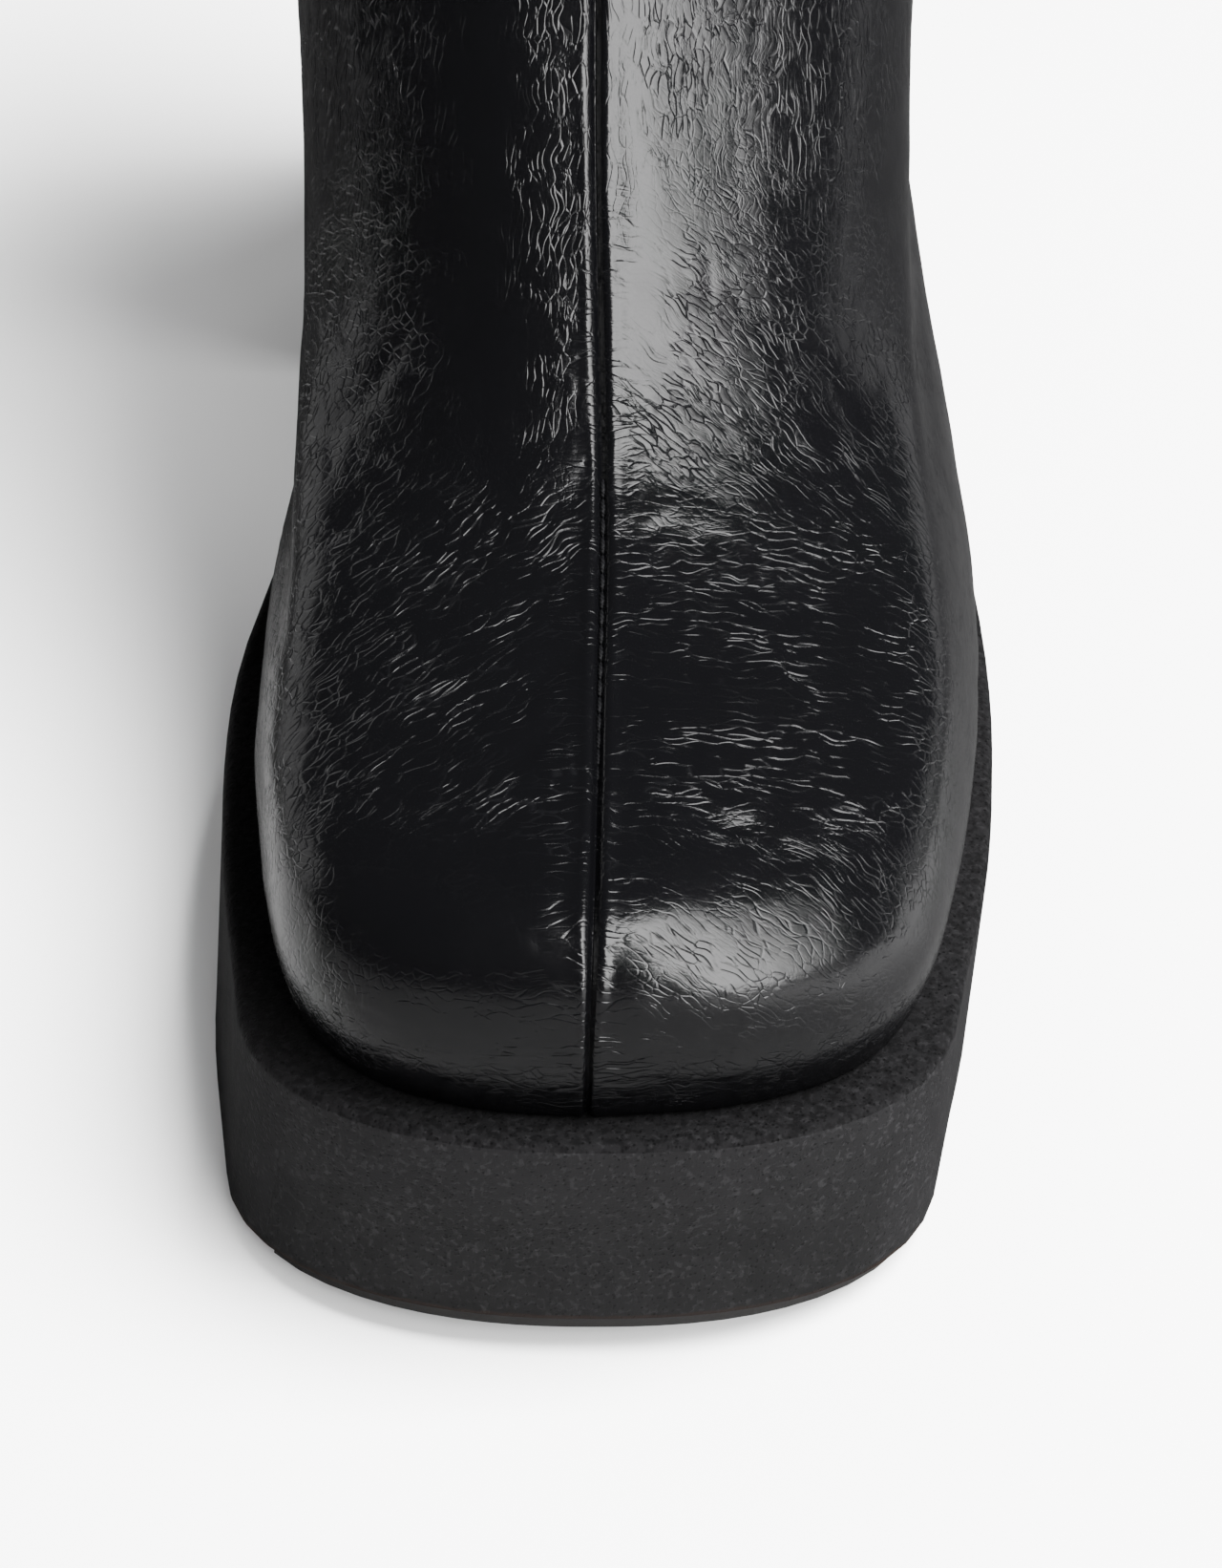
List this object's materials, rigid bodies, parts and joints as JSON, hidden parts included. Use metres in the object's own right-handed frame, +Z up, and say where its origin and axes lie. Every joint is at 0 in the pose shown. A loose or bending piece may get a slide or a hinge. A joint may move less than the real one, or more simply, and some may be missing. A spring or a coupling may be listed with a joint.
{
  "type": "platform boot",
  "caption": "Left ankle boot with a square toe, a front seam, a hollow glossy leather upper, a thick foam platform and a block heel.",
  "frame": {"origin": "on the floor, under the middle of the boot's bounding box", "axes": "toe towards -Y, heel towards +Y, +Z up, the boot's outer side towards +X"},
  "size_m": [0.1024, 0.263, 0.2485],
  "materials": {
    "upper_leather": "glossy coated leather, finely creased",
    "sole_foam": "matte microcellular foam",
    "tread_rubber": "matte rubber",
    "insole_cloth": "brushed textile"
  },
  "bodies": {
    "root": {"upper": "upper_leather", "platform_midsole": "sole_foam", "heel_block": "sole_foam", "front_tread": "tread_rubber", "heel_top_piece": "tread_rubber", "insole": "insole_cloth"}
  },
  "joints": []
}
